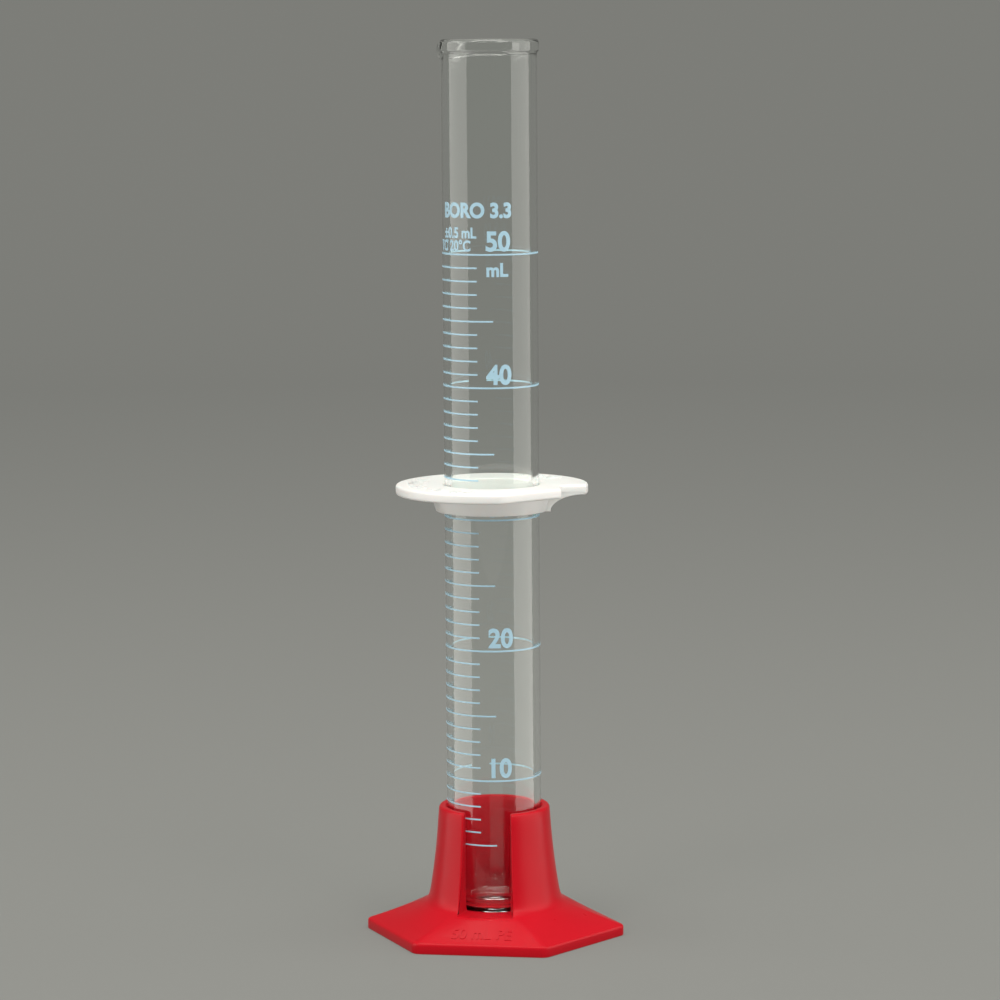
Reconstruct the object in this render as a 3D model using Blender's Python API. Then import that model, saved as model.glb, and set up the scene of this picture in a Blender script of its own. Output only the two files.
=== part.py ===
"""A 50 mL measuring cylinder: a glass tube, a bumper ring and a detachable hexagonal foot.

Metres, +Z up. The origin is on the tube's axis, at the underside of the foot.
The foot's corners lie along X, and the slot in its socket faces -Y.
"""
import math

import bmesh
import bpy
from mathutils import Matrix, Vector

MM = 0.001
GAP = 0.3 * MM                      # clearance between pieces that touch

# Glass tube. The bore sets how high each millilitre stands.
TUBE_DIAMETER = 23.0 * MM
BORE_DIAMETER = 20.0 * MM
MILLILITRE = 1.0e-6                 # cubic metres
TEN_ML_RING_Z = 40.0 * MM
RIM_Z = 218.3 * MM
RIM_BEAD_HEIGHT = 3.4 * MM
RIM_BEAD_DIAMETER = 24.0 * MM
FLOOR_FILLET = 3.0 * MM
HEEL_FILLET = 3.2 * MM
HEEL_LAND = 7.2 * MM                # radius of the flat that the heel stands on
HEEL_DIMPLE = 0.5 * MM              # how far the outer bottom is drawn up at its centre
TUBE_STEPS = 60

# Pouring spout, drawn outwards and slightly down from the rim.
SPOUT_AZIMUTH = math.radians(158.5)
SPOUT_HALF_ANGLE = math.radians(38.0)
SPOUT_START_Z = 205.0 * MM
SPOUT_REACH = 1.6 * MM
SPOUT_DROP = 3.0 * MM

# Hexagonal foot with a slotted conical socket, moulded in one piece.
FOOT_CORNER_RADIUS = 32.2 * MM      # centre to corner, before the corners are rounded
FOOT_DEPTH_SHARE = 0.89             # the hexagon is this much shallower along Y than a regular one
FOOT_CORNER_FILLET = 2.5 * MM
SMALLEST_FILLET = 0.3 * MM          # left at the corners of the inner outlines
FOOT_EDGE_HEIGHT = 2.8 * MM
FOOT_EDGE_ROUND = 0.5 * MM
FOOT_RIM_WIDTH = 3.0 * MM
FOOT_WALL = 2.4 * MM
SOCKET_BASE_RADIUS = 16.4 * MM
SOCKET_BASE_Z = 7.6 * MM
SOCKET_FLARE = 1.4 * MM             # radius of the sweep from the cone into the foot
SOCKET_TOP_RADIUS = 13.5 * MM
SOCKET_TOP_Z = 32.0 * MM
SOCKET_CHAMFER = 0.7 * MM
WELL_FLOOR_Z = 5.0 * MM
SOCKET_LEAD_IN = 0.2 * MM
BOSS_RADIUS = 12.5 * MM
BOSS_DRAFT = 0.3 * MM               # how much the boss widens upwards
RIM_DRAFT = 0.2 * MM                # how much the rim's inner face leans
SLOT_HALF_WIDTH_AT_AXIS = 2.78 * MM # half the slot's width if it ran in to the axis
SLOT_FLARE = 0.25                   # half-width gained per length outwards
SLOT_FLOOR_Z = 7.4 * MM
RIB_COUNT = 6
RIB_THICKNESS = 1.6 * MM
RIB_RECESS = 0.4 * MM               # ribs stop short of the underside
RIB_LAP = 0.8 * MM                  # how far the ribs run into the walls they join

# Bumper ring, a friction fit on the tube.
BUMPER_RADIUS = 23.35 * MM
BUMPER_TOP_Z = 111.3 * MM
BUMPER_THICKNESS = 2.4 * MM
BUMPER_EDGE_ROUND = 0.5 * MM
COLLAR_TOP_RADIUS = 14.6 * MM       # the collar narrows downwards
COLLAR_BOTTOM_RADIUS = 13.7 * MM
COLLAR_BOTTOM_Z = 104.8 * MM
COLLAR_FILLET = 0.5 * MM
BUMPER_TURN = math.radians(8.5)     # the ring's features are laid out in a frame turned by this
BUMPER_STEPS = 72
FLAT_AZIMUTH = math.radians(-52.0)
FLAT_DISTANCE = 19.7 * MM
TAB_FRONT_Y = -4.6 * MM
NOTCH_X = 16.6 * MM
GUSSET_THICKNESS = 1.6 * MM
GUSSET_SETBACK = 0.05 * MM
GUSSET_INNER_X = 12.0 * MM
GUSSET_FOOT_X = 14.1 * MM
GUSSET_TIP_X = 22.3 * MM
GUSSET_LAP = 0.8 * MM               # how far the gusset runs up into the disc
CUTTER_OVERRUN = 5.0 * MM           # how far the cutters pass the faces they cut

TUBE_RADIUS = TUBE_DIAMETER / 2
BORE_RADIUS = BORE_DIAMETER / 2
SLIDING_BORE_RADIUS = TUBE_RADIUS + GAP


def clear_scene():
    for item in list(bpy.data.objects):
        bpy.data.objects.remove(item)


def make_material(name, colour, roughness, transmission=0.0):
    material = bpy.data.materials.new(name)
    material.use_nodes = True
    shader = material.node_tree.nodes["Principled BSDF"]
    shader.inputs["Base Color"].default_value = (*colour, 1.0)
    shader.inputs["Roughness"].default_value = roughness
    shader.inputs["Metallic"].default_value = 0.0
    shader.inputs["Transmission Weight"].default_value = transmission
    return material


def add_object(name, bm, material=None):
    """Turn a bmesh into a named object with its faces pointing out."""
    bmesh.ops.recalc_face_normals(bm, faces=bm.faces)
    mesh = bpy.data.meshes.new(name)
    bm.to_mesh(mesh)
    bm.free()
    if material:
        mesh.materials.append(material)
        mesh.shade_smooth()
        mesh.set_sharp_from_angle(angle=math.radians(30.0))
    item = bpy.data.objects.new(name, mesh)
    bpy.context.scene.collection.objects.link(item)
    return item


def arc(centre_x, centre_z, radius, start, end, count):
    """Points on an arc in the XZ plane, from one angle in degrees to another."""
    points = []
    for step in range(count + 1):
        angle = math.radians(start + (end - start) * step / count)
        points.append((centre_x + radius * math.cos(angle), centre_z + radius * math.sin(angle)))
    return points


def spin_profile(profile, steps, closed):
    """Turn a profile of (radius, height) points about Z into a closed surface."""
    bm = bmesh.new()
    verts = [bm.verts.new((radius, 0.0, height)) for radius, height in profile]
    edges = [bm.edges.new(pair) for pair in zip(verts, verts[1:])]
    if closed:
        edges.append(bm.edges.new((verts[-1], verts[0])))
    bmesh.ops.spin(bm, geom=verts + edges, cent=(0, 0, 0), axis=(0, 0, 1),
                   angle=math.tau, steps=steps, use_merge=True)
    bmesh.ops.remove_doubles(bm, verts=bm.verts, dist=1e-6)
    return bm


def extrude_outline(outline, near_y, far_y):
    """A prism whose outline is drawn in XZ and which runs along Y."""
    bm = bmesh.new()
    face = bm.faces.new([bm.verts.new((x, near_y, z)) for x, z in outline])
    extruded = bmesh.ops.extrude_face_region(bm, geom=[face])
    moved = [item for item in extruded["geom"] if isinstance(item, bmesh.types.BMVert)]
    bmesh.ops.translate(bm, verts=moved, vec=(0, far_y - near_y, 0))
    return bm


def box_bmesh(low, high):
    """A box between two corners."""
    bm = bmesh.new()
    size = [top - bottom for bottom, top in zip(low, high)]
    centre = [(top + bottom) / 2 for bottom, top in zip(low, high)]
    matrix = Matrix.Translation(centre) @ Matrix.Diagonal((*size, 1.0))
    bmesh.ops.create_cube(bm, size=1.0, matrix=matrix)
    return bm


def use_as_tool(target, tool, operation):
    """Cut a shape out of an object, or add it, and keep the tool out of sight."""
    tool.hide_render = True
    tool.display_type = 'WIRE'
    tool.parent = target
    modifier = target.modifiers.new(tool.name, 'BOOLEAN')
    modifier.operation = operation
    modifier.solver = 'EXACT'
    modifier.object = tool


def tube_floor_z():
    """Height of the bore's floor that puts exactly 10 mL below the 10 mL ring."""
    corner_centre = BORE_RADIUS - FLOOR_FILLET
    fillet_area = (1 - math.pi / 4) * FLOOR_FILLET ** 2
    fillet_centroid = corner_centre + FLOOR_FILLET * (10 - 3 * math.pi) / (12 - 3 * math.pi)
    lost_volume = math.tau * fillet_centroid * fillet_area
    bore_area = math.pi * BORE_RADIUS ** 2
    return TEN_ML_RING_Z - (10 * MILLILITRE + lost_volume) / bore_area


def tube_profile():
    """Floor of the bore, inner wall, rim bead, outer wall, heel and outer bottom."""
    floor_z = tube_floor_z()
    bottom_z = WELL_FLOOR_Z + GAP
    bead_bottom_z = RIM_Z - RIM_BEAD_HEIGHT
    bead_radius = RIM_BEAD_DIAMETER / 2
    rim_half = (bead_radius - BORE_RADIUS) / 2
    rim_centre = BORE_RADIUS + rim_half
    spout_rings = 3
    spout_rise = (bead_bottom_z - SPOUT_START_Z) / spout_rings
    climb = [SPOUT_START_Z + step * spout_rise for step in range(spout_rings + 1)]
    profile = [(0.0, floor_z)]
    profile += arc(BORE_RADIUS - FLOOR_FILLET, floor_z + FLOOR_FILLET, FLOOR_FILLET, -90, 0, 5)
    profile += [(BORE_RADIUS, height) for height in climb]
    profile += arc(rim_centre, RIM_Z - rim_half, rim_half, 180, 0, 8)
    profile += [(bead_radius, bead_bottom_z + 0.25 * RIM_BEAD_HEIGHT)]
    profile += [(TUBE_RADIUS, height) for height in reversed(climb)]
    profile += arc(TUBE_RADIUS - HEEL_FILLET, bottom_z + HEEL_FILLET, HEEL_FILLET, 0, -90, 5)
    profile += [(HEEL_LAND, bottom_z), (0.0, bottom_z + HEEL_DIMPLE)]
    return profile


def draw_spout(bm):
    """Draw the rim out into a spout, inner and outer wall together."""
    for vert in bm.verts:
        radius = math.hypot(vert.co.x, vert.co.y)
        if vert.co.z <= SPOUT_START_Z or radius == 0.0:
            continue
        turn = math.atan2(vert.co.y, vert.co.x) - SPOUT_AZIMUTH
        turn = abs(math.remainder(turn, math.tau))
        if turn >= SPOUT_HALF_ANGLE:
            continue
        across = math.cos(math.pi / 2 * turn / SPOUT_HALF_ANGLE) ** 2
        climb = (vert.co.z - SPOUT_START_Z) / (RIM_Z - SPOUT_START_Z)
        pull = across * climb ** 2
        outward = Vector((vert.co.x, vert.co.y, 0.0)).normalized()
        vert.co += outward * SPOUT_REACH * pull
        vert.co.z -= SPOUT_DROP * pull


def build_tube():
    glass = make_material("clear_glass", (0.93, 0.96, 0.95), 0.02, transmission=1.0)
    bm = spin_profile(tube_profile(), TUBE_STEPS, closed=False)
    draw_spout(bm)
    return add_object("glass_tube", bm, glass)


def hexagon_radius(angle, inset=0.0):
    """Distance from the axis to a rounded hexagon with corners along X, in one direction."""
    apothem = FOOT_CORNER_RADIUS * math.cos(math.pi / 6) - inset
    fillet = max(FOOT_CORNER_FILLET - inset, SMALLEST_FILLET)
    turn = abs((angle + math.pi / 6) % (math.pi / 3) - math.pi / 6)
    from_flat = math.pi / 6 - turn
    flat_half = (apothem - fillet) * math.tan(math.pi / 6)
    if apothem * math.tan(from_flat) <= flat_half:
        return apothem / math.cos(from_flat)
    corner = (apothem - fillet) / math.cos(math.pi / 6)
    return corner * math.cos(turn) + math.sqrt(fillet ** 2 - (corner * math.sin(turn)) ** 2)


def foot_angles():
    """Directions of the foot's points, closer together around each corner."""
    offsets = (-22.0, -15.0, -8.0, -2.3, -1.2, 0.0, 1.2, 2.3, 8.0, 15.0, 22.0, 30.0)
    return [math.radians(60 * corner + offset) for corner in range(6) for offset in offsets]


def add_ring(bm, angles, radius_at, height, depth_share=1.0):
    return [bm.verts.new((radius_at(angle) * math.cos(angle),
                          depth_share * radius_at(angle) * math.sin(angle), height)) for angle in angles]


def foot_rings(bm):
    """Rings from the underside's centre, over the foot and the cone, to the well's floor."""
    angles = foot_angles()

    def circle(radius, height):
        return add_ring(bm, angles, lambda angle: radius, height)

    def hexagon(inset, height):
        return add_ring(bm, angles, lambda angle: hexagon_radius(angle, inset), height, FOOT_DEPTH_SHARE)

    roof_z = FOOT_EDGE_HEIGHT - FOOT_WALL + FOOT_EDGE_ROUND
    flare_radius = SOCKET_BASE_RADIUS + SOCKET_FLARE
    rings = [
        circle(BOSS_RADIUS, 0.0),
        circle(BOSS_RADIUS + BOSS_DRAFT, SOCKET_BASE_Z - FOOT_WALL),
        circle(SOCKET_BASE_RADIUS, SOCKET_BASE_Z - FOOT_WALL),
        hexagon(FOOT_RIM_WIDTH + RIM_DRAFT, roof_z),
        hexagon(FOOT_RIM_WIDTH, 0.0),
        hexagon(0.0, 0.0),
        hexagon(0.0, FOOT_EDGE_HEIGHT - FOOT_EDGE_ROUND),
        hexagon(FOOT_EDGE_ROUND, FOOT_EDGE_HEIGHT),
        circle(flare_radius, SOCKET_BASE_Z - 0.1 * SOCKET_FLARE),
        circle(SOCKET_BASE_RADIUS, SOCKET_BASE_Z + SOCKET_FLARE),
        circle(SOCKET_TOP_RADIUS, SOCKET_TOP_Z - SOCKET_CHAMFER),
        circle(SOCKET_TOP_RADIUS - SOCKET_CHAMFER, SOCKET_TOP_Z),
        circle(SLIDING_BORE_RADIUS + SOCKET_LEAD_IN, SOCKET_TOP_Z),
        circle(SLIDING_BORE_RADIUS, SOCKET_TOP_Z - SOCKET_CHAMFER),
        circle(SLIDING_BORE_RADIUS, WELL_FLOOR_Z),
    ]
    return rings


def foot_shell():
    bm = bmesh.new()
    rings = foot_rings(bm)
    underside = bm.verts.new((0.0, 0.0, 0.0))
    well = bm.verts.new((0.0, 0.0, WELL_FLOOR_Z))
    count = len(rings[0])
    for index in range(count):
        after = (index + 1) % count
        bm.faces.new((underside, rings[0][after], rings[0][index]))
        bm.faces.new((well, rings[-1][index], rings[-1][after]))
        for lower, upper in zip(rings, rings[1:]):
            bm.faces.new((lower[index], lower[after], upper[after], upper[index]))
    return bm


def foot_ribs():
    """Six ribs under the foot, from the boss under the well to the corners of the rim."""
    inner = BOSS_RADIUS - BOSS_DRAFT
    crown = SOCKET_BASE_RADIUS - 2 * RIB_LAP
    crown_z = SOCKET_BASE_Z - FOOT_WALL + RIB_LAP
    ribs = bmesh.new()
    for index in range(RIB_COUNT):
        turn = math.tau * index / RIB_COUNT
        corner_x = FOOT_CORNER_RADIUS * math.cos(turn)
        corner_y = FOOT_CORNER_RADIUS * FOOT_DEPTH_SHARE * math.sin(turn)
        tip = math.hypot(corner_x, corner_y) - FOOT_RIM_WIDTH + RIB_LAP
        outline = [
            (inner, RIB_RECESS),
            (tip, RIB_RECESS),
            (tip, FOOT_EDGE_HEIGHT - RIB_LAP),
            (SOCKET_BASE_RADIUS, crown_z),
            (crown, crown_z),
            (inner, WELL_FLOOR_Z - BOSS_DRAFT),
        ]
        rib = extrude_outline(outline, -RIB_THICKNESS / 2, RIB_THICKNESS / 2)
        matrix = Matrix.Rotation(math.atan2(corner_y, corner_x), 4, 'Z')
        bmesh.ops.transform(rib, matrix=matrix, verts=rib.verts)
        mesh = bpy.data.meshes.new("rib")
        rib.to_mesh(mesh)
        rib.free()
        ribs.from_mesh(mesh)
        bpy.data.meshes.remove(mesh)
    return ribs


def slot_prism():
    """The flared prism that opens the socket's front, widening away from the tube's axis."""
    bm = bmesh.new()
    reach = 2 * SOCKET_BASE_RADIUS
    outer = SLOT_HALF_WIDTH_AT_AXIS + SLOT_FLARE * reach
    inner = SLOT_HALF_WIDTH_AT_AXIS
    outline = [(-inner, 0.0), (-outer, -reach), (outer, -reach), (inner, 0.0)]
    face = bm.faces.new([bm.verts.new((x, y, SLOT_FLOOR_Z)) for x, y in outline])
    extruded = bmesh.ops.extrude_face_region(bm, geom=[face])
    moved = [item for item in extruded["geom"] if isinstance(item, bmesh.types.BMVert)]
    bmesh.ops.translate(bm, verts=moved, vec=(0, 0, 2 * SOCKET_TOP_Z))
    return bm


def build_foot():
    red = make_material("red_plastic", (0.61, 0.012, 0.02), 0.35)
    foot = add_object("hexagonal_foot", foot_shell(), red)
    use_as_tool(foot, add_object("rib_tool", foot_ribs()), 'UNION')
    use_as_tool(foot, add_object("slot_cutter", slot_prism()), 'DIFFERENCE')
    return foot


def bumper_profile():
    """Disc with a rounded edge above a short collar, as a closed outline."""
    underside_z = BUMPER_TOP_Z - BUMPER_THICKNESS
    edge = BUMPER_RADIUS - BUMPER_EDGE_ROUND
    profile = [(SLIDING_BORE_RADIUS, COLLAR_BOTTOM_Z), (SLIDING_BORE_RADIUS, BUMPER_TOP_Z)]
    profile += arc(edge, BUMPER_TOP_Z - BUMPER_EDGE_ROUND, BUMPER_EDGE_ROUND, 90, 0, 2)
    profile += arc(edge, underside_z + BUMPER_EDGE_ROUND, BUMPER_EDGE_ROUND, 0, -90, 2)
    profile += [(COLLAR_TOP_RADIUS + COLLAR_FILLET, underside_z)]
    profile += [(COLLAR_TOP_RADIUS, underside_z - COLLAR_FILLET)]
    profile += [(COLLAR_BOTTOM_RADIUS, COLLAR_BOTTOM_Z)]
    return profile


def gusset_bmesh():
    """A web under the tab, whose lower edge is a hollow quarter of an ellipse."""
    underside_z = BUMPER_TOP_Z - BUMPER_THICKNESS
    reach = GUSSET_TIP_X - GUSSET_FOOT_X
    drop = underside_z - COLLAR_BOTTOM_Z
    foot_z = COLLAR_BOTTOM_Z + GUSSET_SETBACK
    outline = [(GUSSET_INNER_X, underside_z + GUSSET_LAP), (GUSSET_INNER_X, foot_z)]
    curve_steps = 7
    for step in range(curve_steps + 1):
        angle = math.pi / 2 * step / curve_steps
        outline.append((GUSSET_TIP_X - reach * math.cos(angle), foot_z + drop * math.sin(angle)))
    outline.append((GUSSET_TIP_X, underside_z + GUSSET_LAP))
    front = TAB_FRONT_Y + GUSSET_SETBACK
    return extrude_outline(outline, front, front + GUSSET_THICKNESS)


def build_bumper():
    white = make_material("white_plastic", (0.90, 0.90, 0.88), 0.45)
    bumper = add_object("bumper_ring", spin_profile(bumper_profile(), BUMPER_STEPS, closed=True), white)
    bumper.rotation_euler = (0.0, 0.0, BUMPER_TURN)
    use_as_tool(bumper, add_object("gusset_tool", gusset_bmesh()), 'UNION')
    low_z = COLLAR_BOTTOM_Z - CUTTER_OVERRUN
    high_z = BUMPER_TOP_Z + CUTTER_OVERRUN
    notch = box_bmesh((NOTCH_X, -2 * BUMPER_RADIUS, low_z), (2 * BUMPER_RADIUS, TAB_FRONT_Y, high_z))
    use_as_tool(bumper, add_object("notch_cutter", notch), 'DIFFERENCE')
    flat = box_bmesh((FLAT_DISTANCE, -BUMPER_RADIUS, low_z), (2 * BUMPER_RADIUS, BUMPER_RADIUS, high_z))
    bmesh.ops.transform(flat, matrix=Matrix.Rotation(FLAT_AZIMUTH, 4, 'Z'), verts=flat.verts)
    use_as_tool(bumper, add_object("flat_cutter", flat), 'DIFFERENCE')
    return bumper


def main():
    clear_scene()
    build_foot()
    build_tube()
    build_bumper()


main()
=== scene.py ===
"""Looks for the 50 mL measuring cylinder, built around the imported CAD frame.

Metres, +Z up, in the frame of the CAD part: the origin is on the tube's axis at the foot's
underside, the foot's corners lie along X, and the slot in its socket faces -Y.
"""

import math

import bmesh
import bpy
from mathutils import Matrix, Vector
from mathutils.bvhtree import BVHTree


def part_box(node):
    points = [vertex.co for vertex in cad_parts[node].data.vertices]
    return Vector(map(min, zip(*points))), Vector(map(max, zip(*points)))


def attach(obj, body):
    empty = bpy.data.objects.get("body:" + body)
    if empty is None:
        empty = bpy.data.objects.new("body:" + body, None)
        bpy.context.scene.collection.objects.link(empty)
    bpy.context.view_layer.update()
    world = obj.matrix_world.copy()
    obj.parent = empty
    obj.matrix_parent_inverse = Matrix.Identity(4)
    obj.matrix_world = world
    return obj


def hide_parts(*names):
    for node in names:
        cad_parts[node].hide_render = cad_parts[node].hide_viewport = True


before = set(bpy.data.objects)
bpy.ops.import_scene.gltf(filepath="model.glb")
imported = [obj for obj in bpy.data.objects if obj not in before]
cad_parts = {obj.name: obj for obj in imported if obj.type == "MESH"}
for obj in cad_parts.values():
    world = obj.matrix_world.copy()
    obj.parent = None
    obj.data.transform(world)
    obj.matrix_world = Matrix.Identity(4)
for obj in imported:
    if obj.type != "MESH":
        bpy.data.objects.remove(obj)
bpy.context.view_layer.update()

MM = 0.001

# Places read from the frame.
FOOT_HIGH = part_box("hexagonal_foot")[1]
TUBE_LOW, TUBE_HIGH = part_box("glass_tube")
RING_LOW, RING_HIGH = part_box("bumper_ring")

# Glass tube.
TUBE_RADIUS = 11.5 * MM
BORE_RADIUS = 10.0 * MM
MILLILITRE_HEIGHT = 1.0e-6 / (math.pi * BORE_RADIUS ** 2)
TEN_ML_RING_Z = 40.0 * MM
RIM_Z = TUBE_HIGH.z
RIM_BEAD_HEIGHT = 3.4 * MM
RIM_BEAD_RADIUS = 12.0 * MM
RIM_BEAD_ROUND = 0.45 * MM
RIM_BEAD_SAG = 0.2 * MM                                 # of the bead's lower edge
RIM_NECK_ROUND = 0.5 * MM                               # hollow round between bead and wall
RIM_NECK_OVERLAP = 0.25 * MM                            # part of that round hidden by the bead's own
FLOOR_FILLET = 3.0 * MM
HEEL_FILLET = 3.2 * MM
HEEL_LAND = 7.2 * MM
HEEL_DIMPLE = 0.5 * MM
TUBE_BOTTOM_Z = TUBE_LOW.z
TUBE_STEPS = 192
FLOOR_RINGS = 3
WALL_RINGS = 12
FILLET_POINTS = 14
RIM_POINTS = 20
NECK_POINTS = 5
HEEL_RINGS = 5

# Pouring spout.
SPOUT_AZIMUTH = math.radians(158.5)
SPOUT_HALF_ANGLE = math.radians(38.0)
SPOUT_START_Z = 205.0 * MM
SPOUT_REACH = 1.6 * MM
SPOUT_DROP = 3.0 * MM
SPOUT_RINGS = 9

# Foot and socket.
FOOT_CORNER_RADIUS = 32.2 * MM
FOOT_DEPTH_SHARE = 0.89
FOOT_CORNER_FILLET = 2.5 * MM
FOOT_EDGE_HEIGHT = 2.8 * MM
FOOT_EDGE_ROUND = 0.8 * MM
FOOT_RIM_WIDTH = 3.0 * MM
FOOT_WALL = 2.4 * MM
FOOT_HEEL = 0.3 * MM
SMALLEST_FILLET = 0.3 * MM
RIM_DRAFT = 0.2 * MM
RIM_CEILING_GAP = 0.5 * MM
SOCKET_BASE_RADIUS = 16.4 * MM
SOCKET_BASE_Z = 7.6 * MM
SOCKET_FILLET = 1.8 * MM
SOCKET_TOP_RADIUS = 13.5 * MM
SOCKET_TOP_Z = FOOT_HIGH.z
SOCKET_LIP_ROUND = 0.6 * MM
SOCKET_INNER_ROUND = 0.35 * MM
CONE_BELLY = 0.35 * MM                                  # how far the cone's side sags inwards
CONE_EASE = 1.6                                         # crowds the cone's rings towards its base
SWEEP_SHARE = 0.45                                      # how fast the sweep at its base dies away
WELL_RADIUS = 11.8 * MM
WELL_FLOOR_Z = 5.0 * MM
WELL_FILLET = 0.8 * MM
BOSS_RADIUS = 12.5 * MM
BOSS_DRAFT = 0.3 * MM
SLOT_AZIMUTH = math.radians(270.0)
SLOT_HALF_ANGLE = math.radians(25.5)                # at the top of the cone
SLOT_HALF_WIDTH_AT_AXIS = 2.78 * MM
SLOT_FLARE = 0.25
SLOT_EDGE_ROUND = 0.45 * MM
SLOT_FLOOR_FILLET = 0.5 * MM
SLOT_FLOOR_TAPER = 0.35                                 # share of the floor where the fillet starts
SLOT_EDGE_GAP = 1e-5                                    # radians, keeps the edge's columns apart
SLOT_FADE = math.radians(40.0)
WALL_HOLD_HEIGHT = 2.0 * MM
WALL_MIDDLE_SNAP = 0.15 * MM
RIB_COUNT = 6
RIB_THICKNESS = 1.6 * MM
RIB_RECESS = 0.4 * MM
RIB_LAP = 0.8 * MM
RIB_SINK = 0.3 * MM
FOOT_CORNER_TURNS = (30, 90, 150)                       # degrees from the slot's middle
CORNER_NUDGE = 0.8                                      # degrees between the columns at a corner
CORNER_CLEARANCE = math.radians(0.5)
SLOPE_START = 0.06
SLOPE_POINTS = 8
CONE_POINTS = 22
LIP_POINTS = 8
BORE_POINTS = 14
SLOT_FLOOR_COLUMNS = 14
WALL_COLUMNS = 52

# Bumper ring, laid out in a frame turned about the tube's axis.
RING_TURN = math.radians(8.5)
RING_RADIUS = 23.35 * MM
RING_TOP_Z = RING_HIGH.z
RING_THICKNESS = 2.4 * MM
RING_BORE_RADIUS = 11.8 * MM
RING_EDGE_ROUND = 0.6 * MM
COLLAR_TOP_RADIUS = 14.6 * MM
COLLAR_BOTTOM_RADIUS = 13.7 * MM
COLLAR_BOTTOM_Z = RING_LOW.z
COLLAR_FILLET = 0.6 * MM
FLAT_AZIMUTH = math.radians(-52.0)
FLAT_DISTANCE = 19.7 * MM
TAB_FRONT_Y = -4.6 * MM
NOTCH_X = 16.6 * MM
GUSSET_THICKNESS = 1.6 * MM
GUSSET_INNER_X = 12.0 * MM
GUSSET_FOOT_X = 14.1 * MM
GUSSET_TIP_X = 22.3 * MM
GUSSET_LAP = 0.8 * MM
GUSSET_LIFT = 0.05 * MM
GUSSET_SETBACK = 0.02 * MM
GUSSET_EDGE_ROUND = 0.2 * MM
GUSSET_STEPS = 24
RING_STEPS = 132
FLAT_POINTS = 9
NOTCH_POINTS = 5
TAB_POINTS = 4
QUARTER_TURNS = (90, 67, 45, 22, 0)                     # degrees along a rounded edge

# Raised lettering moulded into the plastic.
LETTER_RELIEF = 0.2 * MM
LETTER_SPREAD = 1.1
LETTER_STRIP = 0.8 * MM
FOOT_LETTERING = "50 mL PE"
FOOT_LETTER_HEIGHT = 2.4 * MM
FOOT_LETTER_WEIGHT = 0.05 * MM
FOOT_LETTER_Y = -23.0 * MM                              # baseline
RING_LETTER_HEIGHT = 3.4 * MM
RING_LETTER_WEIGHT = 0.08 * MM
RING_LETTER_RADIUS = 20.4 * MM                          # baseline
# Text and the direction in degrees of its middle.
RING_LETTERING = (("50 mL", -112.0), ("BUMPER", -168.0), ("50 mL", 60.0))

# Printed scale. Angles are from the side that faces the camera, positive to the right.
FACING_AZIMUTH = math.radians(-81.5)
INK_BASE = 0.01 * MM
INK_RELIEF = 0.05 * MM
INK_STRIP = 0.6 * MM
LINE_STEP = math.radians(2.5)
LINE_CROWN_SHARE = 0.42                                 # half the line's flat top, of its width
LINE_WIDTH = 0.42 * MM
TICK_WIDTH = 0.38 * MM
RING_GAP_START = math.radians(199.0)
RING_GAP_WIDTH = math.radians(26.0)
TICK_START = math.radians(-96.0)
TICK_END = math.radians(-16.5)
LONG_TICK_END = math.radians(3.0)
NUMERAL_ANGLE = math.radians(9.5)
NUMERAL_HEIGHT = 4.4 * MM
NUMERAL_LIFT = 1.0 * MM
NUMERAL_SQUEEZE = 0.94
NUMERAL_WEIGHT = 0.2 * MM
UNIT_ANGLE = math.radians(8.5)
UNIT_DROP = 5.1 * MM
UNIT_HEIGHT = 3.0 * MM
UNIT_SQUEEZE = 0.95
UNIT_WEIGHT = 0.16 * MM
FIRST_TICK_ML = 5
CAPACITY_ML = 50
RING_STEP_ML = 10
LONG_TICK_STEP_ML = 5

# Marks above the scale: text, facing angle of its right edge in degrees, then its height above
# the top ring and its capitals' height in millimetres, its squeeze, and its weight in millimetres.
GLASS_MARKS = (("BORO 3.3", 26.0, 8.9, 3.3, 0.92, 0.2),
               ("±0.5 mL", -16.5, 4.0, 2.4, 0.88, 0.11),
               ("TC 20°C", -24.0, 0.9, 2.4, 0.88, 0.11))

# Stage, light and camera.
WARM_WHITE = (1.0, 0.985, 0.93)
STAGE_GREY = (0.11, 0.11, 0.106)
STAGE_GLOW = (0.150, 0.152, 0.140)
CARD_GREY = (0.5, 0.5, 0.5)
CARD_BLACK = (0.02, 0.02, 0.02)
CARD_GLOW = 2.4
CARD_LIFT = 1.0 * MM
CARD_STEPS = 16
CAMERA_DISTANCE = 855.25 * MM
CAMERA_ABOVE_TEN_ML = 173.58 * MM
CAMERA_PITCH = math.radians(7.09)
CAMERA_YAW = math.radians(0.13)
CAMERA_ROLL = math.radians(-0.4076)
FOCAL_LENGTH = 127.7
SENSOR_WIDTH = 36.0


# ---------------------------------------------------------------- mesh helpers

def arc(centre_x, centre_z, radius, start, end, count):
    """Points on an arc in the XZ plane, from one angle in degrees to another."""
    points = []
    for step in range(count + 1):
        angle = math.radians(start + (end - start) * step / count)
        points.append((centre_x + radius * math.cos(angle), centre_z + radius * math.sin(angle)))
    return points


def quarter_round(radius, turns):
    """(inset, drop) pairs along a rounded edge, for a list of directions in degrees."""
    pairs = []
    for turn in turns:
        angle = math.radians(turn)
        pairs.append((radius * (1 - math.cos(angle)), radius * (1 - math.sin(angle))))
    return pairs


def around(radius, angle, height):
    """A point at a distance from the axis, in a direction, at a height."""
    return radius * math.cos(angle), radius * math.sin(angle), height


def spaced(start, end, count):
    """Evenly spaced values between two ends, both left out."""
    return [start + (end - start) * step / (count + 1) for step in range(1, count + 1)]


def middle_x(bm):
    """Halfway between a shape's lowest and highest X."""
    return (max(vert.co.x for vert in bm.verts) + min(vert.co.x for vert in bm.verts)) / 2


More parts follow.
